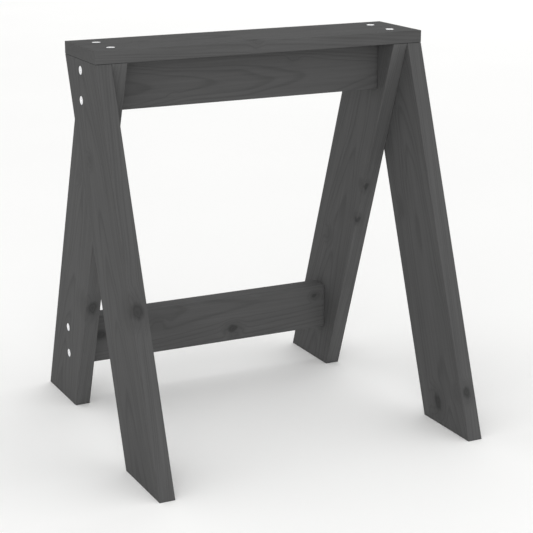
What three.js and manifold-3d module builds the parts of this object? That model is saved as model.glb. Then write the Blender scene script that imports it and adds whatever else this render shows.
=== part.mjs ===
// A low wooden sawhorse. At each end two leaning boards cross at the top, the front leg outside the back leg,
// and carry a flat top board. A rail on edge stiffens the top board, a lower rail ties the two back legs,
// and twelve wood screws hold the seven boards together.
// Millimetres. +X runs along the top board, +Y points to the back and +Z up.
// The origin is on the floor under the middle of the top board.
import * as THREE from 'three';
import { mergeVertices } from 'three/addons/utils/BufferGeometryUtils.js';
import Module from 'manifold-3d';

const wasm = await Module();
wasm.setup();

// The whole sawhorse
const overallLength = 488;
const overallHeight = 550;
const legLean = 19.5; // degrees from upright

// Boards
const legWidth = 110; // square across the leaning board
const legThickness = 22;
const topThickness = 17;
const railHeight = 69;
const railThickness = 30;
const lowerRailClearance = 61; // floor to the underside of the lower rail
const lowerRailSetIn = 2; // the lower rail stands this far in front of the back leg's centre line

// Wood screws with a flat countersunk head and a cross drive
const shankDiameter = 5;
const pointLength = 7;
const headDiameter = 11.5;
const headRim = 0.6; // upright edge of the head, above its cone
const headSink = 0.2; // the head's flat lies this far below the face of the wood
const driveSpan = 5.6; // across the cross
const driveWidth = 1.3;
const driveDepth = 2;
const topScrewLength = 50;
const topRailScrewLength = 80;
const lowerRailScrewLength = 60;
const topScrewSpacing = 54; // between the two screws in one leg top
const railScrewInset = 14.5; // from a rail's upper and lower edges

// Gaps between pieces that touch on the real object
const boardGap = 0.3;
const boreClearance = 0.3;

// Sides of the round shapes
const roundSegments = 20;

// Places that follow from the sizes above
const lean = THREE.MathUtils.degToRad(legLean);
const legAcross = legWidth / Math.cos(lean); // a leg's width measured level
const topUnderside = overallHeight - topThickness;
const legTop = topUnderside - boardGap;
const coneBottom = headRim + (headDiameter - shankDiameter) / 2; // a 90 degree countersink
const frontLegX = overallLength / 2 - legThickness / 2;
const backLegX = frontLegX - legThickness - boardGap;
const railEndX = backLegX - legThickness / 2 - boardGap;
const topRailZ = legTop - railHeight / 2;
const lowerRailZ = lowerRailClearance + railHeight / 2;
const lowerRailY = legCentreY(lowerRailZ) - lowerRailSetIn;

const pine = { color: '#575757', roughness: 0.62, metalness: 0 };
const zincPlatedSteel = { color: '#d6d8da', roughness: 0.3, metalness: 1 };

// Left is -X and front is -Y.
const sides = [{ name: 'left', sign: -1 }, { name: 'right', sign: 1 }];
const rows = [{ name: 'front', sign: -1 }, { name: 'back', sign: 1 }];
const levels = [{ name: 'lower', sign: -1 }, { name: 'upper', sign: 1 }];

// How far a leg's centre line has leaned out from the middle at a height.
function legCentreY(height) {
  return (legTop - height) * Math.tan(lean);
}

function solidFrom(geometry) {
  const plain = geometry.clone();
  plain.deleteAttribute('normal');
  plain.deleteAttribute('uv');
  const merged = mergeVertices(plain);
  const vertProperties = merged.attributes.position.array;
  const triVerts = new Uint32Array(merged.index.array);
  return new wasm.Manifold(new wasm.Mesh({ numProp: 3, vertProperties, triVerts }));
}

function geometryFrom(solid) {
  const mesh = solid.getMesh();
  const geometry = new THREE.BufferGeometry();
  geometry.setAttribute('position', new THREE.BufferAttribute(mesh.vertProperties, 3));
  geometry.setIndex(new THREE.BufferAttribute(mesh.triVerts, 1));
  const faceted = geometry.toNonIndexed();
  faceted.computeVertexNormals();
  return faceted;
}

function subtractAll(geometry, cutters) {
  const solid = cutters.reduce((left, cutter) => left.subtract(solidFrom(cutter)), solidFrom(geometry));
  return geometryFrom(solid);
}

function makeMesh(name, geometry, finish) {
  const mesh = new THREE.Mesh(geometry, new THREE.MeshStandardMaterial(finish));
  mesh.name = name;
  return mesh;
}

// A solid turned round +Z from [radius, height] pairs that start and end on the axis, bottom first.
function turned(profile) {
  const points = profile.map(([radius, height]) => new THREE.Vector2(radius, height));
  return new THREE.LatheGeometry(points, roundSegments).rotateX(Math.PI / 2);
}

// The head's flat is at z = 0 and the point is below it.
function screwGeometry(length) {
  const shank = [[0, -length], [shankDiameter / 2, pointLength - length], [shankDiameter / 2, -coneBottom]];
  const head = [[headDiameter / 2, -headRim], [headDiameter / 2, 0], [0, 0]];
  const crossArms = [driveArm(driveSpan, driveWidth), driveArm(driveWidth, driveSpan)];
  return subtractAll(turned([...shank, ...head]), crossArms);
}

// One arm of the cross drive, cut down from the head's flat.
function driveArm(alongX, alongY) {
  return new THREE.BoxGeometry(alongX, alongY, 2 * driveDepth);
}

// A screw's bore and countersink. The face of the wood is at z = 0, and the cut reaches above it.
function boreGeometry(length) {
  const bore = shankDiameter / 2 + boreClearance;
  const rim = headDiameter / 2 + boreClearance;
  const drop = headSink + boreClearance;
  const shank = [[0, -length - drop], [bore, -length - drop], [bore, -coneBottom - drop]];
  return turned([...shank, [rim, -headRim - drop], [rim, headDiameter], [0, headDiameter]]);
}

// Every screw's name, length, direction and seat, the point where its axis meets the face of the wood.
function screwPlaces() {
  const places = [];
  for (const side of sides) {
    const outward = new THREE.Vector3(side.sign, 0, 0);
    for (const row of rows) {
      places.push({
        name: `top_screw_${side.name}_${row.name}`,
        length: topScrewLength,
        outward: new THREE.Vector3(0, 0, 1),
        seat: new THREE.Vector3(side.sign * backLegX, row.sign * topScrewSpacing / 2, overallHeight),
      });
    }
    for (const level of levels) {
      const offset = level.sign * (railHeight / 2 - railScrewInset);
      places.push({
        name: `top_rail_screw_${side.name}_${level.name}`,
        length: topRailScrewLength,
        outward,
        seat: new THREE.Vector3(side.sign * overallLength / 2, 0, topRailZ + offset),
      });
      places.push({
        name: `lower_rail_screw_${side.name}_${level.name}`,
        length: lowerRailScrewLength,
        outward,
        seat: new THREE.Vector3(side.sign * (backLegX + legThickness / 2), lowerRailY, lowerRailZ + offset),
      });
    }
  }
  return places;
}

// The turn and move that take a screw from its own frame to its seat, sunk below the face of the wood.
function placement({ seat, outward }, sink) {
  const turn = new THREE.Quaternion().setFromUnitVectors(new THREE.Vector3(0, 0, 1), outward);
  const position = seat.clone().addScaledVector(outward, -sink);
  return new THREE.Matrix4().compose(position, turn, new THREE.Vector3(1, 1, 1));
}

const screws = screwPlaces();

// A board drilled for every screw that reaches it. Boards are drilled where they stand.
function drilled(geometry) {
  geometry.computeBoundingBox();
  const bores = screws.map((screw) => boreGeometry(screw.length).applyMatrix4(placement(screw, 0)));
  const reached = bores.filter((bore) => {
    bore.computeBoundingBox();
    return bore.boundingBox.intersectsBox(geometry.boundingBox);
  });
  return subtractAll(geometry, reached);
}

// A leaning leg: an outline in Y and Z, made level at the floor and at the top, as thick as a leg along X.
function legGeometry(leanSign, centreX) {
  const footY = leanSign * legCentreY(0);
  const outline = new THREE.Shape([
    new THREE.Vector2(footY - legAcross / 2, 0),
    new THREE.Vector2(footY + legAcross / 2, 0),
    new THREE.Vector2(legAcross / 2, legTop),
    new THREE.Vector2(-legAcross / 2, legTop),
  ]);
  const board = new THREE.ExtrudeGeometry(outline, { depth: legThickness, bevelEnabled: false });
  const yzToWorld = new THREE.Matrix4().makeBasis(
    new THREE.Vector3(0, 1, 0),
    new THREE.Vector3(0, 0, 1),
    new THREE.Vector3(1, 0, 0),
  );
  board.applyMatrix4(yzToWorld);
  return board.translate(centreX - legThickness / 2, 0, 0);
}

function makeLegs() {
  const legs = new THREE.Group();
  for (const side of sides) {
    for (const row of rows) {
      const centreX = side.sign * (row.name === 'front' ? frontLegX : backLegX);
      const board = drilled(legGeometry(row.sign, centreX));
      legs.add(makeMesh(`leg_${row.name}_${side.name}`, board, pine));
    }
  }
  return legs;
}

function makeTopBoard() {
  const board = new THREE.BoxGeometry(overallLength, legAcross, topThickness);
  board.translate(0, 0, overallHeight - topThickness / 2);
  return makeMesh('top_board', drilled(board), pine);
}

function makeRail(name, centreY, centreZ) {
  const board = new THREE.BoxGeometry(2 * railEndX, railThickness, railHeight);
  board.translate(0, centreY, centreZ);
  return makeMesh(name, drilled(board), pine);
}

function makeScrews() {
  const group = new THREE.Group();
  for (const screw of screws) {
    const mesh = makeMesh(screw.name, screwGeometry(screw.length), zincPlatedSteel);
    placement(screw, headSink).decompose(mesh.position, mesh.quaternion, mesh.scale);
    group.add(mesh);
  }
  return group;
}

const sawhorse = new THREE.Group();
sawhorse.add(makeTopBoard());
sawhorse.add(makeRail('top_rail', 0, topRailZ));
sawhorse.add(makeRail('lower_rail', lowerRailY, lowerRailZ));
sawhorse.add(makeLegs());
sawhorse.add(makeScrews());

export default sawhorse;
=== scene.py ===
from functools import partial, reduce
import math

import bmesh
import bpy
from mathutils import Matrix, Vector


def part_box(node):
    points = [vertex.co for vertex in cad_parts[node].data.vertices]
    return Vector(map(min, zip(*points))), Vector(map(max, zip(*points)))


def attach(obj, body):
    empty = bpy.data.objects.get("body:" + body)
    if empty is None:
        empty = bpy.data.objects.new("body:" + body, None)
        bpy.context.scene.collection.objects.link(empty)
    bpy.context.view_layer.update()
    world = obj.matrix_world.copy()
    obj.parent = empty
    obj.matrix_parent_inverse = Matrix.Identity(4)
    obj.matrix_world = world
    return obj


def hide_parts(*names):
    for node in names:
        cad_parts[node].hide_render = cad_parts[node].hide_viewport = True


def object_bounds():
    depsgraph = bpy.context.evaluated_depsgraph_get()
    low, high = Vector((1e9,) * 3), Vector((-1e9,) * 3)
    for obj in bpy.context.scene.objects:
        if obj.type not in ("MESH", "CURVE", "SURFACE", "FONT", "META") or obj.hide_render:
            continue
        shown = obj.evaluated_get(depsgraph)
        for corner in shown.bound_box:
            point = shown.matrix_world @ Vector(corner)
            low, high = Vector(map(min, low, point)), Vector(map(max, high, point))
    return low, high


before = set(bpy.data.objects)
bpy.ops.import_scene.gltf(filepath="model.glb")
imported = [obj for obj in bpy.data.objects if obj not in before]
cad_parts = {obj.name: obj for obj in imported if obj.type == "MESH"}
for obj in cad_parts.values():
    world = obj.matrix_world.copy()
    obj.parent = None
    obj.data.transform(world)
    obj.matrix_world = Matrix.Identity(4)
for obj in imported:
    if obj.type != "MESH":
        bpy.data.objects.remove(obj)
cadLow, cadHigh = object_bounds()
mm = 0.001
print("sawhorse: frame loaded,", len(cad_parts), "CAD nodes")


# Camera: in front of the left end, looking down a little

camera = {
    "place": (-0.935, -1.952, 0.833),
    "turnedRight": 26.29,  # degrees from looking straight to the back
    "lookingDown": 15.83,  # degrees
    "lens": 106,  # mm
    "sensor": 36,  # mm
}


def makeCamera():
    lens = bpy.data.cameras.new("camera")
    lens.lens = camera["lens"]
    lens.sensor_width = camera["sensor"]
    stand = bpy.data.objects.new("camera", lens)
    bpy.context.scene.collection.objects.link(stand)
    turned, down = math.radians(camera["turnedRight"]), math.radians(camera["lookingDown"])
    ahead = Vector((math.sin(turned) * math.cos(down), math.cos(turned) * math.cos(down), -math.sin(down)))
    stand.location = camera["place"]
    stand.rotation_mode = "QUATERNION"
    stand.rotation_quaternion = ahead.to_track_quat("-Z", "Y")
    bpy.context.scene.camera = stand


makeCamera()
print("sawhorse: camera placed")


# Helpers that every tree and material uses

def addNode(tree, kind, *values, **settings):
    # "ShaderNodeMath:ADD" is a Math node set to ADD. The values fill the sockets in use in their order,
    # a dict fills them by name instead, and a list links all its items to one socket.
    kind, _, operation = kind.partition(":")
    node = tree.nodes.new(kind)
    if operation:
        node.operation = operation
    for name, value in settings.items():
        setattr(node, name, value)
    sockets = [socket for socket in node.inputs if socket.enabled]
    pairs = list(zip(sockets, values))
    if values and isinstance(values[0], dict):
        pairs = [(next(s for s in sockets if s.name == name), value) for name, value in values[0].items()]
    for socket, value in pairs:
        for each in value if isinstance(value, list) else [value]:
            if isinstance(each, bpy.types.Node):
                each = next(output for output in each.outputs if output.enabled)
            if isinstance(each, bpy.types.NodeSocket):
                tree.links.new(each, socket)
            else:
                socket.default_value = each
    return node


def newShapeTree(name, inputs):
    # inputs is the name and the socket type of each input; the sockets that give them come back with the tree
    tree = bpy.data.node_groups.new(name, "GeometryNodeTree")
    tree.interface.new_socket("Geometry", in_out="OUTPUT", socket_type="NodeSocketGeometry")
    for label, kind in inputs.items():
        tree.interface.new_socket(label, in_out="INPUT", socket_type="NodeSocket" + kind)
    return tree, tree.nodes.new("NodeGroupInput").outputs


def endShapeTree(tree, shape, material):
    real = addNode(tree, "GeometryNodeRealizeInstances", shape)
    coated = addNode(tree, "GeometryNodeSetMaterial", {"Geometry": real, "Material": material})
    addNode(tree, "NodeGroupOutput", coated)


def growPiece(name, startMesh, tree, values, sharpAngle):
    # runs a tree on a start mesh and keeps what grows as a plain mesh
    piece = bpy.data.objects.new(name, startMesh)
    bpy.context.scene.collection.objects.link(piece)
    modifier = piece.modifiers.new(tree.name, "NODES")
    modifier.node_group = tree
    for socket in tree.interface.items_tree:
        if socket.in_out == "INPUT" and socket.name in values:
            modifier[socket.identifier] = values[socket.name]
    grown = bpy.data.meshes.new_from_object(piece.evaluated_get(bpy.context.evaluated_depsgraph_get()))
    piece.modifiers.remove(modifier)
    piece.data = grown
    grown.name = name
    grown.shade_smooth()
    grown.set_sharp_from_angle(angle=math.radians(sharpAngle))
    return piece


def linear(hexColour):
    # an sRGB hex colour as the linear colour that a shader takes
    channels = [int(hexColour[i:i + 2], 16) / 255 for i in (1, 3, 5)]
    return (*[c / 12.92 if c <= 0.04045 else ((c + 0.055) / 1.055) ** 2.4 for c in channels], 1)


def newMaterial(name):
    # the material, and addNode for its own tree
    material = bpy.data.materials.new(name)
    material.use_nodes = True
    material.node_tree.nodes.clear()
    return material, partial(addNode, material.node_tree)


# Zinc plated steel: a pale metal, faintly blue, scuffed by tumbling with other screws

zinc = {
    "blueTone": "#eaebed",
    "paleTone": "#f9f9fa",
    "cloud": 2 * mm,  # width of a patch of one tone
    "cloudDetail": 2,  # finer layers in its noise
    "scuff": 0.3 * mm,
    "scuffDetail": 3,
    "smoothest": 0.22,
    "roughest": 0.42,
    "dent": 0.05 * mm,
    "dentStrength": 0.15,
}


def zincPlatedSteel():
    material, add = newMaterial("zincPlatedSteel")
    place = add("ShaderNodeTexCoord").outputs["Object"]
    cloud = add("ShaderNodeTexNoise", {
        "Vector": place, "Scale": 1 / zinc["cloud"], "Detail": zinc["cloudDetail"],
    })
    scuff = add("ShaderNodeTexNoise", {
        "Vector": place, "Scale": 1 / zinc["scuff"], "Detail": zinc["scuffDetail"],
    })
    tint = add("ShaderNodeMix", {
        "Factor": cloud, "A": linear(zinc["blueTone"]), "B": linear(zinc["paleTone"]),
    }, data_type="RGBA")
    rough = add("ShaderNodeMapRange", {
        "Value": scuff, "To Min": zinc["smoothest"], "To Max": zinc["roughest"],
    })
    dents = add("ShaderNodeBump", {
        "Height": scuff, "Strength": zinc["dentStrength"], "Distance": zinc["dent"],
    })
    steel = add("ShaderNodeBsdfPrincipled", {
        "Base Color": tint, "Metallic": 1.0, "Roughness": rough, "Normal": dents,
    })
    add("ShaderNodeOutputMaterial", steel)
    return material


# Wood screws: 5 mm, flat countersunk head, cross recess

screw = {
    "headDiameter": 11.5 * mm,
    "headRim": 0.6 * mm,
    "shankDiameter": 5 * mm,
    "coreDiameter": 3.3 * mm,  # at the bottom of the thread
    "pitch": 2.4 * mm,
    "threadedShare": 0.62,
    "crestSharpness": 1.6,  # above 1 the crests are narrower than the valleys between them
    "pointLength": 7 * mm,
    "driveSpan": 5.6 * mm,  # across the cross recess
    "driveWidth": 1.3 * mm,
    "driveDepth": 2 * mm,
    "driveTaper": 0.45,  # how much shorter an arm is at its bottom
    "coneRadius": 2.6 * mm,  # at the top of the cone that cuts the recess's round middle
    "coneTipRadius": 0.2 * mm,
    "coneReach": 1.25,  # how far the cone goes above and below the flat, in depths of the recess
    "coneSides": 16,
    "turnPerLetter": 0.4,  # radians for each letter of the kind's name; each screw stopped where it was tight
    "nextTurn": 1.1,  # radians from one screw to the next
    "sides": 24,
    "capRings": 3,  # rings of faces on the flat of the head
    "rowHeight": 0.3 * mm,  # fine enough for the thread
    "weld": 0.002 * mm,  # closes the point
    "sharpAngle": 35,  # degrees
}


def screwTree():
    tree, given = newShapeTree("woodScrew", {
        "Places": "Geometry", "Length": "Float", "Head Diameter": "Float", "Head Rim": "Float",
        "Shank Diameter": "Float", "Core Diameter": "Float", "Pitch": "Float", "Threaded Share": "Float",
        "Crest Sharpness": "Float", "Point Length": "Float", "Drive Span": "Float", "Drive Width": "Float",
        "Drive Depth": "Float", "Drive Taper": "Float", "Cone Radius": "Float", "Cone Tip Radius": "Float",
        "Cone Reach": "Float", "Cone Sides": "Int", "Sides": "Int", "Cap Rings": "Int", "Row Height": "Float",
        "Weld": "Float", "Material": "Material",
    })
    add = partial(addNode, tree)

    # a plain rod one metre in radius, with rows enough to carry the thread
    rows = add("ShaderNodeMath:ROUND", add("ShaderNodeMath:DIVIDE", given["Length"], given["Row Height"]))
    rod = add("GeometryNodeMeshCylinder", {
        "Vertices": given["Sides"], "Side Segments": rows, "Fill Segments": given["Cap Rings"],
        "Radius": 1.0, "Depth": given["Length"],
    })
    at = add("ShaderNodeSeparateXYZ", add("GeometryNodeInputPosition")).outputs
    halfLength = add("ShaderNodeMath:MULTIPLY", given["Length"], 0.5)
    depth = add("ShaderNodeMath:SUBTRACT", halfLength, at["Z"])  # below the flat of the head
    turn = add("ShaderNodeMath:DIVIDE", add("ShaderNodeMath:ARCTAN2", at["Y"], at["X"]), math.tau)

    # the cone of the head runs into the shank
    headRadius = add("ShaderNodeMath:MULTIPLY", given["Head Diameter"], 0.5)
    shankRadius = add("ShaderNodeMath:MULTIPLY", given["Shank Diameter"], 0.5)
    coneDepth = add("ShaderNodeMath:SUBTRACT", headRadius, shankRadius)
    smooth = add("ShaderNodeMapRange", {
        "Value": depth, "From Min": given["Head Rim"],
        "From Max": add("ShaderNodeMath:ADD", given["Head Rim"], coneDepth),
        "To Min": headRadius, "To Max": shankRadius,
    })

    # the thread is cut into the lower part of the shank, with narrow crests between wide valleys
    plainShare = add("ShaderNodeMath:SUBTRACT", 1.0, given["Threaded Share"])
    threadStart = add("ShaderNodeMath:MULTIPLY", given["Length"], plainShare)
    threaded = add("ShaderNodeMapRange", {
        "Value": depth, "From Min": threadStart,
        "From Max": add("ShaderNodeMath:ADD", threadStart, given["Pitch"]),
    })
    turns = add("ShaderNodeMath:ADD", add("ShaderNodeMath:DIVIDE", depth, given["Pitch"]), turn)
    ridge = add("ShaderNodeMath:MULTIPLY", add("ShaderNodeMath:PINGPONG", turns, 0.5), 2.0)  # 1 on a crest
    crest = add("ShaderNodeMath:POWER", ridge, given["Crest Sharpness"])
    thread = add("ShaderNodeMath:SUBTRACT", given["Shank Diameter"], given["Core Diameter"])
    deepest = add("ShaderNodeMath:MULTIPLY", thread, 0.5)
    valley = add("ShaderNodeMath:MULTIPLY", add("ShaderNodeMath:SUBTRACT", 1.0, crest), deepest)
    cut = add("ShaderNodeMath:MULTIPLY", valley, threaded)

    # it narrows to a point
    narrowing = add("ShaderNodeMapRange", {
        "Value": depth, "From Min": add("ShaderNodeMath:SUBTRACT", given["Length"], given["Point Length"]),
        "From Max": given["Length"], "To Min": 1.0, "To Max": 0.0,
    })
    radius = add("ShaderNodeMath:MULTIPLY", add("ShaderNodeMath:SUBTRACT", smooth, cut), narrowing)
    shaped = add("ShaderNodeCombineXYZ", {
        "X": add("ShaderNodeMath:MULTIPLY", at["X"], radius),
        "Y": add("ShaderNodeMath:MULTIPLY", at["Y"], radius),
        "Z": add("ShaderNodeMath:MULTIPLY", depth, -1.0),
    })
    turned = add("GeometryNodeSetPosition", {"Geometry": rod, "Position": shaped})
    closed = add("GeometryNodeMergeByDistance", {"Geometry": turned, "Distance": given["Weld"]})

    # the arms of the cross recess get shorter downwards
    armSize = add("ShaderNodeCombineXYZ", {
        "X": given["Drive Span"], "Y": given["Drive Width"],
        "Z": add("ShaderNodeMath:MULTIPLY", given["Drive Depth"], 2.0),
    })
    armAt = add("GeometryNodeInputPosition")
    armHeight = add("ShaderNodeSeparateXYZ", armAt).outputs["Z"]
    armDepth = add("ShaderNodeMath:DIVIDE", armHeight, given["Drive Depth"])
    armShare = add("ShaderNodeMath:MULTIPLY_ADD", armDepth, given["Drive Taper"], 1.0)
    squeeze = add("ShaderNodeCombineXYZ", {"X": armShare, "Y": 1.0, "Z": 1.0})
    arm = add("GeometryNodeSetPosition", {
        "Geometry": add("GeometryNodeMeshCube", armSize),
        "Position": add("ShaderNodeVectorMath:MULTIPLY", armAt, squeeze),
    })
    otherArm = add("GeometryNodeTransform", {"Geometry": arm, "Rotation": (0, 0, math.pi / 2)})

    # its middle is a cone that points down
    reach = add("ShaderNodeMath:MULTIPLY", given["Drive Depth"], given["Cone Reach"])
    cone = add("GeometryNodeMeshCone", {
        "Vertices": given["Cone Sides"], "Radius Top": given["Cone Radius"],
        "Radius Bottom": given["Cone Tip Radius"], "Depth": add("ShaderNodeMath:MULTIPLY", reach, 2.0),
    })
    middle = add("GeometryNodeTransform", {
        "Geometry": cone,
        "Translation": add("ShaderNodeCombineXYZ", {"Z": add("ShaderNodeMath:MULTIPLY", reach, -1.0)}),
    })
    recess = [arm, otherArm, middle]
    finished = add("GeometryNodeMeshBoolean:DIFFERENCE", closed, recess, solver="MANIFOLD")

    # one screw at each place, pointing outwards and turned to where it was tight
    outward = add("GeometryNodeInputNamedAttribute", "outward", data_type="FLOAT_VECTOR")
    tightAt = add("GeometryNodeInputNamedAttribute", "tightAt", data_type="FLOAT")
    facing = add("FunctionNodeAlignRotationToVector", {"Vector": outward}, axis="Z")
    driven = add("FunctionNodeAxisAngleToRotation", {"Axis": (0, 0, 1), "Angle": tightAt})
    rotation = add("FunctionNodeRotateRotation", facing, driven, rotation_space="LOCAL")
    placed = add("GeometryNodeInstanceOnPoints", {
        "Points": given["Places"], "Instance": finished, "Rotation": rotation,
    })
    endShapeTree(tree, placed, given["Material"])
    return tree


def screwPlaces(kind):
    # where the CAD screws of one kind start, which way their heads face and how long they are
    places = []
    for name in sorted(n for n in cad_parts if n.startswith(kind)):
        low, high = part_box(name)
        size, centre = high - low, (low + high) / 2
        axis = max(range(3), key=lambda i: size[i])
        outward = Vector((0, 0, 0))
        outward[axis] = 1 if axis == 2 else math.copysign(1, centre[axis])  # up, or to its own end
        head = centre + outward * size[axis] / 2
        places.append({"node": name, "head": head, "outward": outward, "length": size[axis]})
    return places


def makeScrews(kind, places, tree, material):
    start = bpy.data.meshes.new(kind)
    start.from_pydata([place["head"] for place in places], [], [])
    firstTurn = screw["turnPerLetter"] * len(kind)  # so each kind starts at its own angle
    turns = [firstTurn + screw["nextTurn"] * i for i in range(len(places))]
    start.attributes.new("tightAt", "FLOAT", "POINT").data.foreach_set("value", turns)
    outward = [part for place in places for part in place["outward"]]
    start.attributes.new("outward", "FLOAT_VECTOR", "POINT").data.foreach_set("vector", outward)
    piece = growPiece(kind + "s", start, tree, {
        "Length": places[0]["length"], "Head Diameter": screw["headDiameter"], "Head Rim": screw["headRim"],
        "Shank Diameter": screw["shankDiameter"], "Core Diameter": screw["coreDiameter"],
        "Pitch": screw["pitch"], "Threaded Share": screw["threadedShare"],
        "Crest Sharpness": screw["crestSharpness"], "Point Length": screw["pointLength"],
        "Drive Span": screw["driveSpan"], "Drive Width": screw["driveWidth"],
        "Drive Depth": screw["driveDepth"], "Drive Taper": screw["driveTaper"],
        "Cone Radius": screw["coneRadius"], "Cone Tip Radius": screw["coneTipRadius"],
        "Cone Reach": screw["coneReach"], "Cone Sides": screw["coneSides"], "Sides": screw["sides"],
        "Cap Rings": screw["capRings"], "Row Height": screw["rowHeight"], "Weld": screw["weld"],
        "Material": material,
    }, screw["sharpAngle"])
    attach(piece, "root")
    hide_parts(*[place["node"] for place in places])
    return piece


zincFinish = zincPlatedSteel()
woodScrewTree = screwTree()
screwSets = {kind: screwPlaces(kind) for kind in ("top_screw", "top_rail_screw", "lower_rail_screw")}
for kind, places in screwSets.items():
    made = makeScrews(kind, places, woodScrewTree, zincFinish)
    print("sawhorse:", made.name, len(made.data.polygons), "faces")


# Bores: the cutters for every bore and countersink, which aren't part of the object

bore = {
    "clearance": 0.3 * mm,  # between a screw and the wood
    "reach": 6 * mm,  # how far a cutter stands out of the wood
    "sides": 32,
}


def makeBores():
    wide = screw["headDiameter"] / 2 + bore["clearance"]
    narrow = screw["shankDiameter"] / 2 + bore["clearance"]
    rimEnd = screw["headRim"] + bore["clearance"]
    coneEnd = rimEnd + wide - narrow  # the countersink's wall slopes at 45 degrees
    angles = [math.tau * step / bore["sides"] for step in range(bore["sides"])]
    shape = bmesh.new()
    for place in [place for places in screwSets.values() for place in places]:
        facing = Vector((0, 0, 1)).rotation_difference(place["outward"]).to_matrix().to_4x4()
        standing = Matrix.Translation(place["head"]) @ facing
        end = place["length"] + bore["clearance"]
        profile = [(narrow, -end), (narrow, -coneEnd), (wide, -rimEnd), (wide, bore["reach"])]
        rings = []
        for radius, height in profile:
            corners = [Vector((radius * math.cos(a), radius * math.sin(a), height)) for a in angles]
            rings.append([shape.verts.new(standing @ corner) for corner in corners])
        for lower, upper in zip(rings, rings[1:]):
            for i in range(bore["sides"]):
                shape.faces.new((lower[i - 1], lower[i], upper[i], upper[i - 1]))
        shape.faces.new(rings[0][::-1])
        shape.faces.new(rings[-1])
    mesh = bpy.data.meshes.new("bores")
    shape.to_mesh(mesh)
    shape.free()
    cutters = bpy.data.objects.new("bores", mesh)
    bpy.context.scene.collection.objects.link(cutters)
    return cutters


# Boards: planed pine with eased arrises, faces a hair hollow where the wood dried, and knots a little sunk

board = {
    "ease": 0.6 * mm,  # how far the long arrises are rounded
    "endEase": 0.2 * mm,  # the sawn ends were only touched with sandpaper
    "easeRows": 3.0,  # rows of faces on each half of an arris
    "gridAlong": 5 * mm,
    "gridAcross": 3 * mm,
    "hollow": 0.14 * mm,  # depth of the deepest
    "hollowLength": 120 * mm,
    "hollowWidth": 18 * mm,
    "hollowDetail": 2.0,  # finer layers in its noise
    "knotSink": 0.3 * mm,
    "knotReach": 9 * mm,  # from a knot's middle to where the face is level again
    "endGrainFrom": 0.35,  # how squarely a face lies across the grain where end grain starts to show
    "endGrainTo": 0.8,  # and where it shows in full
    "sharpAngle": 35,  # degrees
}

# Places on a board are in mm from its middle: along the grain, across its face and through its thickness.
# Along is to the right or up. Across is to the back on the top board, up on a rail and to the front on a leg.
# The pith is the middle of the tree, across and through. A knot is along, across, through, radius, and
# which way it runs, and it fades on its way in. The last figure divides the board's colours: below 1 it
# paints the board paler, painted light that lifts the shade the lamps leave on it between the legs and low
# down.
plans = [
    {
        "node": "top_board", "through": (0, 0, 1), "seed": 3.1,
        "pith": (14, -58), "ringWidth": 3.4, "paintedLightDivisor": 1.0,
        "knots": [
            (-14, -47, 8, 5, "through"),
            (118, 21, -9, 6, "through"),
            (-152, 8, -8, 5, "through"),
        ],
    },
    {
        "node": "top_rail", "through": (0, -1, 0), "seed": 11.4,
        "pith": (-10, -52), "ringWidth": 3.0, "paintedLightDivisor": 1.0,
        "knots": [
            (62, 14, -15, 6, "through"),
            (-120, -18, -15, 5, "through"),
        ],
    },
    {
        "node": "lower_rail", "through": (0, -1, 0), "seed": 7.7,
        "pith": (22, -36), "ringWidth": 4.2, "paintedLightDivisor": 0.87,
        "knots": [
            (40, -15.5, 14, 6.5, "through"),
            (-176, 6, 15, 7, "through"),
            (182, 18, 15, 4, "through"),
            (-88, 10, -15, 7, "through"),
        ],
    },
    {
        "node": "leg_front_left", "through": (1, 0, 0), "seed": 5.2,
        "pith": (-6, 60), "ringWidth": 3.2, "paintedLightDivisor": 1.0,
        "knots": [
            (-57, 54, -3, 9, "across"),
            (150, -18, 11, 6, "through"),
        ],
    },
    {
        "node": "leg_front_right", "through": (1, 0, 0), "seed": 17.3,
        "pith": (8, 64), "ringWidth": 3.6, "paintedLightDivisor": 0.95,
        "knots": [
            (-245, -11, -8, 9, "through"),
            (-234, 54, -2, 6, "across"),
            (40, -30, 11, 7, "through"),
        ],
    },
    {
        "node": "leg_back_left", "through": (1, 0, 0), "seed": 23.9,
        "pith": (-4, 56), "ringWidth": 3.3, "paintedLightDivisor": 0.93,
        "knots": [
            (-87, 55, -1, 8.5, "across"),
            (90, -20, 11, 6, "through"),
        ],
    },
    {
        "node": "leg_back_right", "through": (1, 0, 0), "seed": 29.6,
        "pith": (5, 58), "ringWidth": 3.5, "paintedLightDivisor": 0.91,
        "knots": [
            (68, 54, -6, 4, "across"),
            (10, 54, -7.5, 4, "across"),
            (-60, -12, 11, 7, "through"),
        ],
    },
]


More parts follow.
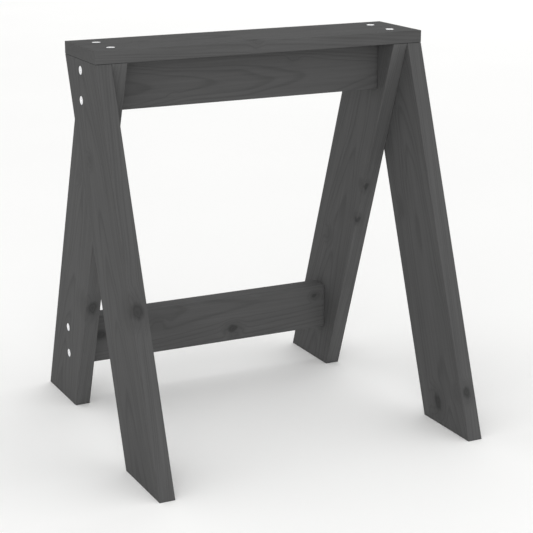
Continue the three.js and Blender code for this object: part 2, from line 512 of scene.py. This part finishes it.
def boardTree():
    tree, given = newShapeTree("planedBoard", {
        "Knots": "Geometry", "Size": "Vector", "Centre": "Vector", "Lean": "Float", "Ease": "Vector",
        "Ease Rows": "Float", "Grid": "Vector", "Hollow": "Float", "Hollow Grid": "Vector", "Seed": "Float",
        "Knot Sink": "Float", "Knot Reach": "Float", "Grain": "Vector", "End Grain From": "Float",
        "End Grain To": "Float", "Bores": "Object", "Material": "Material",
    })
    add = partial(addNode, tree)

    # a block two metres across, with an even grid of points and extra rows for the arrises
    arrisRows = add("ShaderNodeMath:MULTIPLY", given["Ease Rows"], 2.0)
    gridCells = add("ShaderNodeVectorMath:DIVIDE", given["Size"], given["Grid"])
    flatRows = add("ShaderNodeVectorMath:FLOOR", gridCells)
    rows = add("ShaderNodeVectorMath:ADD", flatRows, arrisRows)
    points = add("ShaderNodeSeparateXYZ", add("ShaderNodeVectorMath:ADD", rows, (1, 1, 1))).outputs
    block = add("GeometryNodeMeshCube", {
        "Size": (2, 2, 2), "Vertices X": points["X"], "Vertices Y": points["Y"], "Vertices Z": points["Z"],
    })

    # the outer rows round the arrises, and the others spread over the flat faces
    at = add("GeometryNodeInputPosition")
    share = add("ShaderNodeVectorMath:ABSOLUTE", at)
    side = add("ShaderNodeVectorMath:SIGN", at)
    arrisShare = add("ShaderNodeVectorMath:DIVIDE", arrisRows, rows)
    flatShare = add("ShaderNodeVectorMath:SUBTRACT", (1, 1, 1), arrisShare)
    halfSize = add("ShaderNodeVectorMath:MULTIPLY", given["Size"], (0.5, 0.5, 0.5))
    halfFlat = add("ShaderNodeVectorMath:SUBTRACT", halfSize, given["Ease"])
    onFlat = add("ShaderNodeMapRange", share, (0, 0, 0), flatShare, (0, 0, 0), halfFlat,
                 data_type="FLOAT_VECTOR")
    onArris = add("ShaderNodeMapRange", share, flatShare, (1, 1, 1), (0, 0, 0), (1, 1, 1),
                  data_type="FLOAT_VECTOR")
    flatPlace = add("ShaderNodeVectorMath:MULTIPLY", onFlat, side)
    facing = add("ShaderNodeVectorMath:NORMALIZE", add("ShaderNodeVectorMath:MULTIPLY", onArris, side))
    easedPlace = add("ShaderNodeVectorMath:MULTIPLY_ADD", facing, given["Ease"], flatPlace)
    eased = add("GeometryNodeSetPosition", {"Geometry": block, "Position": easedPlace})

    # hollows left by drying, long along the grain, and never proud of the planed face
    normal = add("GeometryNodeInputNormal")
    wavePlace = add("ShaderNodeVectorMath:DIVIDE", add("GeometryNodeInputPosition"), given["Hollow Grid"])
    wave = add("ShaderNodeTexNoise", {
        "Vector": wavePlace, "W": given["Seed"], "Scale": 1.0, "Detail": board["hollowDetail"],
    }, noise_dimensions="4D")
    dip = add("ShaderNodeMath:MULTIPLY", wave, add("ShaderNodeMath:MULTIPLY", given["Hollow"], -1.0))
    hollowed = add("GeometryNodeSetPosition", {
        "Geometry": eased, "Offset": add("ShaderNodeVectorMath:SCALE", normal, dip),
    })

    # lean the block and stand it in its place
    height = add("ShaderNodeSeparateXYZ", add("GeometryNodeInputPosition")).outputs["Z"]
    leaned = add("ShaderNodeCombineXYZ", {"Y": add("ShaderNodeMath:MULTIPLY", height, given["Lean"])})
    stood = add("GeometryNodeSetPosition", {
        "Geometry": hollowed, "Offset": add("ShaderNodeVectorMath:ADD", leaned, given["Centre"]),
    })

    # knots lie a little below the face
    reach = add("GeometryNodeProximity", {"Geometry": given["Knots"]}, target_element="POINTS")
    sink = add("ShaderNodeMapRange", {
        "Value": reach.outputs["Distance"], "From Min": 0.0, "From Max": given["Knot Reach"],
        "To Min": add("ShaderNodeMath:MULTIPLY", given["Knot Sink"], -1.0), "To Max": 0.0,
    }, interpolation_type="SMOOTHSTEP")
    knotted = add("GeometryNodeSetPosition", {
        "Geometry": stood, "Offset": add("ShaderNodeVectorMath:SCALE", normal, sink),
    })

    # drill it, and mark where the saw cut across the grain
    cutters = add("GeometryNodeObjectInfo", given["Bores"]).outputs["Geometry"]
    drilled = add("GeometryNodeMeshBoolean:DIFFERENCE", knotted, [cutters])
    alongGrain = add("ShaderNodeVectorMath:DOT_PRODUCT", normal, given["Grain"]).outputs["Value"]
    crossCut = add("ShaderNodeMapRange", {
        "Value": add("ShaderNodeMath:ABSOLUTE", alongGrain),
        "From Min": given["End Grain From"], "From Max": given["End Grain To"],
    })
    marked = add("GeometryNodeStoreNamedAttribute", {
        "Geometry": drilled, "Name": "endGrain", "Value": crossCut,
    }, data_type="FLOAT", domain="FACE")
    endShapeTree(tree, marked, given["Material"])
    return tree


# Grey stained pine: softwood whose rings, fibres and knots show faintly through a dark matt stain

pine = {
    "earlywood": "#575757",
    "latewood": "#464646",
    "knot": "#383838",
    "endGrain": "#3e3e3e",
    "ringDarkness": 0.34,
    "fibreDarkness": 0.3,
    "streakDarkness": 0.75,
    "blotchDarkness": 0.5,
    "paleness": 0.42,  # taken off these four together
    "haloDarkness": 0.55,  # round a knot
    "knotDarkness": 0.78,
    "knotRingDarkness": 0.09,
    "endGrainDarkness": 0.07,  # the opaque stain hides nearly all of the difference
    "patterns": {  # length along the grain and width across it
        "wander": (330 * mm, 90 * mm),
        "streak": (150 * mm, 3.5 * mm),
        "fibre": (30 * mm, 1.1 * mm),  # finer in real pine, and as coarse here as it needs to show
        "blotch": (140 * mm, 70 * mm),
        "waver": (14 * mm, 6 * mm),
    },
    "patternDetail": 2.5,  # finer layers in their noises
    "wander": 18 * mm,  # how far rings stray from their circles
    "waver": (11 * mm, 7 * mm, 7 * mm),  # how far a knot's outline strays
    "taper": 0.035,  # the tree narrows upwards, so flat faces show long arches
    "unevenYears": 1.6,  # how far good and poor years push the rings, in rings
    "unevenYearsScale": 0.6,  # how quickly good and poor years follow each other
    "unevenYearsDetail": 1.0,
    "yearEnd": 0.25,  # darkness where one year ends and the next starts
    "season": [(0.12, 0.0), (0.5, 0.12), (0.86, 1.0), (0.93, 0.85)],  # share of the year, and darkness
    "knotLength": 1.35,  # a knot is longer along the grain
    "knotNarrowing": 0.45,  # how fast a knot fades on its way in, as a share of how fast it fades sideways
    "knotCore": 0.55,  # in knot radii, as are the three below
    "knotEdge": 1.25,
    "haloCore": 0.6,
    "haloEdge": 3.4,
    "knotBend": 7 * mm,  # how far the rings bulge round a knot
    "knotRings": 14.0,  # radians of its own ring pattern in each knot radius
    "roughness": 0.7,
    "fibreRoughness": 0.14,  # added where a fibre stands up
    "ior": 1.45,
    "gloss": 0.05,  # a matt stain hardly shines
    "relief": 0.2 * mm,  # how far the grain stands up
    "reliefStrength": 0.35,
    "ringRelief": 0.5,  # beside the 1 of the fibres
}


def greyStainedPine(plan, centre, axes):
    material, add = newMaterial("greyStainedPine_" + plan["node"])
    # the colours divided by the board's painted light figure: below 1 is painted light that makes a shaded
    # board paler
    tints = {}
    for name in ("earlywood", "latewood", "knot", "endGrain"):
        tints[name] = (*[channel / plan["paintedLightDivisor"] for channel in linear(pine[name])[:3]], 1)

    # the board's own frame: along the grain, across the face, through the thickness
    place = add("ShaderNodeMapping", {
        "Vector": add("ShaderNodeTexCoord").outputs["Object"], "Location": centre,
        "Rotation": axes.to_euler(),
    }, vector_type="TEXTURE")
    noises = {}
    for name, (length, width) in pine["patterns"].items():
        noises[name] = add("ShaderNodeTexNoise", {
            "Vector": add("ShaderNodeVectorMath:DIVIDE", place, (length, width, width)),
            "W": plan["seed"], "Scale": 1.0, "Detail": pine["patternDetail"],
        }, noise_dimensions="4D").outputs

    # distance to the nearest knot, in knot radii, with an uneven outline
    waver = add("ShaderNodeVectorMath:SUBTRACT", noises["waver"]["Color"], (0.5, 0.5, 0.5))
    uneven = add("ShaderNodeVectorMath:MULTIPLY_ADD", waver, pine["waver"], place)
    distances = []
    for knotAlong, knotAcross, knotThrough, knotRadius, runs in plan["knots"]:
        weights = Vector((1 / pine["knotLength"], 1, 1))
        weights[2 if runs == "through" else 1] = pine["knotNarrowing"]  # it fades slowly the way it runs
        weights /= knotRadius * mm
        middle = Vector((knotAlong, knotAcross, knotThrough)) * mm
        offset = add("ShaderNodeVectorMath:MULTIPLY_ADD", uneven, weights, -middle * weights)
        distances.append(add("ShaderNodeVectorMath:LENGTH", offset).outputs["Value"])
    nearest = reduce(partial(add, "ShaderNodeMath:MINIMUM"), distances)
    knot = add("ShaderNodeMapRange", {
        "Value": nearest, "From Min": pine["knotCore"], "From Max": pine["knotEdge"],
        "To Min": 1.0, "To Max": 0.0,
    }, interpolation_type="SMOOTHSTEP")
    halo = add("ShaderNodeMapRange", {
        "Value": nearest, "From Min": pine["haloCore"], "From Max": pine["haloEdge"],
        "To Min": 1.0, "To Max": 0.0,
    }, interpolation_type="SMOOTHERSTEP")

    # growth rings round the pith, dark where each year ends
    stray = add("ShaderNodeVectorMath:SUBTRACT", noises["wander"]["Color"], (0.5, 0.5, 0.5))
    strayed = add("ShaderNodeVectorMath:MULTIPLY_ADD", stray, (0, pine["wander"], pine["wander"]), place)
    pith = (0, plan["pith"][0] * mm, plan["pith"][1] * mm)
    fromPith = add("ShaderNodeVectorMath:SUBTRACT", strayed, pith)
    acrossTree = add("ShaderNodeVectorMath:MULTIPLY", fromPith, (0, 1, 1))
    radius = add("ShaderNodeVectorMath:LENGTH", acrossTree).outputs["Value"]
    along = add("ShaderNodeSeparateXYZ", place).outputs["X"]
    tapered = add("ShaderNodeMath:MULTIPLY_ADD", along, pine["taper"], radius)
    bulged = add("ShaderNodeMath:MULTIPLY_ADD", halo, pine["knotBend"], tapered)
    evenYears = add("ShaderNodeMath:DIVIDE", bulged, plan["ringWidth"] * mm)
    weather = add("ShaderNodeTexNoise", {
        "W": evenYears, "Scale": pine["unevenYearsScale"], "Detail": pine["unevenYearsDetail"],
    }, noise_dimensions="1D")
    years = add("ShaderNodeMath:MULTIPLY_ADD", weather, pine["unevenYears"], evenYears)
    late = add("ShaderNodeValToRGB", add("ShaderNodeMath:FRACT", years))
    ramp = late.color_ramp
    ramp.interpolation = "EASE"
    for end, share in zip(ramp.elements, (0.0, 1.0)):
        end.position = share
        end.color = (*[pine["yearEnd"]] * 3, 1)
    for share, darkness in pine["season"]:
        ramp.elements.new(share).color = (darkness, darkness, darkness, 1)

    # what the stain makes of rings, fibres, streaks and slow blotches
    fibre = noises["fibre"]["Fac"]
    dark = add("ShaderNodeMath:MULTIPLY_ADD", late, pine["ringDarkness"], -pine["paleness"])
    dark = add("ShaderNodeMath:MULTIPLY_ADD", fibre, pine["fibreDarkness"], dark)
    dark = add("ShaderNodeMath:MULTIPLY_ADD", noises["streak"]["Fac"], pine["streakDarkness"], dark)
    dark = add("ShaderNodeMath:MULTIPLY_ADD", noises["blotch"]["Fac"], pine["blotchDarkness"], dark,
               use_clamp=True)
    wood = add("ShaderNodeMix", {
        "Factor": dark, "A": tints["earlywood"], "B": tints["latewood"],
    }, data_type="RGBA")

    # a dark halo, knots with fine rings of their own, and end grain that drank more stain
    rings = add("ShaderNodeMath:SINE", add("ShaderNodeMath:MULTIPLY", nearest, pine["knotRings"]))
    ringed = add("ShaderNodeMath:MULTIPLY_ADD", rings, pine["knotRingDarkness"], pine["knotDarkness"])
    endGrain = add("ShaderNodeAttribute", attribute_name="endGrain").outputs["Fac"]
    for share, name in (
        (add("ShaderNodeMath:MULTIPLY", halo, pine["haloDarkness"]), "latewood"),
        (add("ShaderNodeMath:MULTIPLY", ringed, knot), "knot"),
        (add("ShaderNodeMath:MULTIPLY", endGrain, pine["endGrainDarkness"]), "endGrain"),
    ):
        wood = add("ShaderNodeMix", {"Factor": share, "A": wood, "B": tints[name]}, data_type="RGBA")

    relief = add("ShaderNodeMath:MULTIPLY_ADD", late, pine["ringRelief"], fibre)
    bump = add("ShaderNodeBump", {
        "Height": relief, "Strength": pine["reliefStrength"], "Distance": pine["relief"],
    })
    rough = add("ShaderNodeMath:MULTIPLY_ADD", fibre, pine["fibreRoughness"], pine["roughness"])
    surface = add("ShaderNodeBsdfPrincipled", {
        "Base Color": wood, "Roughness": rough, "IOR": pine["ior"], "Normal": bump,
        "Specular IOR Level": pine["gloss"],
    })
    add("ShaderNodeOutputMaterial", surface)
    return material


def byAxis(longest, alongGrain, acrossGrain):
    # one value for the axis that the grain follows and another for the other two
    return [alongGrain if axis == longest else acrossGrain for axis in range(3)]


def makeBoard(plan, tree, bores, levelWidth):
    low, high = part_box(plan["node"])
    size, centre = high - low, (low + high) / 2
    lean, along = 0.0, Vector((1, 0, 0))
    if plan["node"].startswith("leg"):
        # a leg's box is deeper than its board, measured level, by as much as it leans
        lean = -math.copysign((size.y - levelWidth) / size.z, centre.y)
        size.y = levelWidth
        along = Vector((0, lean, 1)).normalized()
    through = Vector(plan["through"])
    axes = Matrix((along, through.cross(along), through)).transposed()
    longest = max(range(3), key=lambda axis: size[axis])
    start = bpy.data.meshes.new(plan["node"])
    start.from_pydata([centre + axes @ Vector(knot[:3]) * mm for knot in plan["knots"]], [], [])
    piece = growPiece(plan["node"] + "_planed", start, tree, {
        "Size": size, "Centre": centre, "Lean": lean, "Ease Rows": board["easeRows"],
        "Ease": byAxis(longest, board["endEase"], board["ease"]),
        "Grid": byAxis(longest, board["gridAlong"], board["gridAcross"]),
        "Hollow Grid": byAxis(longest, board["hollowLength"], board["hollowWidth"]),
        "Hollow": board["hollow"], "Seed": plan["seed"], "Knot Sink": board["knotSink"],
        "Knot Reach": board["knotReach"], "Grain": along, "End Grain From": board["endGrainFrom"],
        "End Grain To": board["endGrainTo"], "Bores": bores,
        "Material": greyStainedPine(plan, centre, axes),
    }, board["sharpAngle"])
    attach(piece, "root")
    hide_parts(plan["node"])
    return piece


topLow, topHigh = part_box("top_board")  # as deep as a leg measured level
boreCutters = makeBores()
planedBoardTree = boardTree()
for plan in plans:
    made = makeBoard(plan, planedBoardTree, boreCutters, topHigh.y - topLow.y)
    print("sawhorse:", made.name, len(made.data.polygons), "faces")
bpy.data.objects.remove(boreCutters)


# Studio: a pale floor, an even white surround and two soft lamps

studio = {
    "floorSize": 40,  # metres
    "floorTones": ("#fafaf9", "#fdfdfc"),
    "floorCloud": 0.5,  # metres
    "floorCloudDetail": 1.0,
    "floorRoughness": 0.9,
    "floorGloss": 0.1,
    "surround": 0.97,
    "lamps": [
        {"name": "keyLamp", "place": (-1.5, -2.95, 1.0), "width": 1.6, "watts": 24},
        {"name": "fillLamp", "place": (4.5, 6.0, 2.2), "width": 3.0, "watts": 22},
    ],
}


def paleStudioPaper():
    # a smooth matt paper, hardly clouded
    material, add = newMaterial("paleStudioPaper")
    place = add("ShaderNodeTexCoord").outputs["Object"]
    cloud = add("ShaderNodeTexNoise", {
        "Vector": place, "Scale": 1 / studio["floorCloud"], "Detail": studio["floorCloudDetail"],
    })
    darker, paler = [linear(tone) for tone in studio["floorTones"]]
    tint = add("ShaderNodeMix", {"Factor": cloud, "A": darker, "B": paler}, data_type="RGBA")
    paper = add("ShaderNodeBsdfPrincipled", {
        "Base Color": tint, "Roughness": studio["floorRoughness"], "Specular IOR Level": studio["floorGloss"],
    })
    add("ShaderNodeOutputMaterial", paper)
    return material


def makeFloor():
    half = studio["floorSize"] / 2
    corners = [(-half, -half, 0), (half, -half, 0), (half, half, 0), (-half, half, 0)]
    mesh = bpy.data.meshes.new("floor")
    mesh.from_pydata(corners, [], [(0, 1, 2, 3)])
    mesh.materials.append(paleStudioPaper())
    floor = bpy.data.objects.new("floor", mesh)
    bpy.context.scene.collection.objects.link(floor)


def makeLight():
    world = bpy.data.worlds.new("studio")
    world.use_nodes = True
    background = world.node_tree.nodes["Background"]
    background.inputs["Color"].default_value = (1, 1, 1, 1)
    background.inputs["Strength"].default_value = studio["surround"]
    bpy.context.scene.world = world
    aim = (cadLow + cadHigh) / 2
    for lamp in studio["lamps"]:
        light = bpy.data.lights.new(lamp["name"], "AREA")
        light.size = lamp["width"]
        light.energy = lamp["watts"]
        stand = bpy.data.objects.new(lamp["name"], light)
        stand.location = lamp["place"]
        stand.rotation_mode = "QUATERNION"
        stand.rotation_quaternion = (aim - Vector(lamp["place"])).to_track_quat("-Z", "Y")
        bpy.context.scene.collection.objects.link(stand)
    bpy.context.scene.view_settings.view_transform = "Standard"


makeFloor()
makeLight()
print("sawhorse: floor and lights ready")
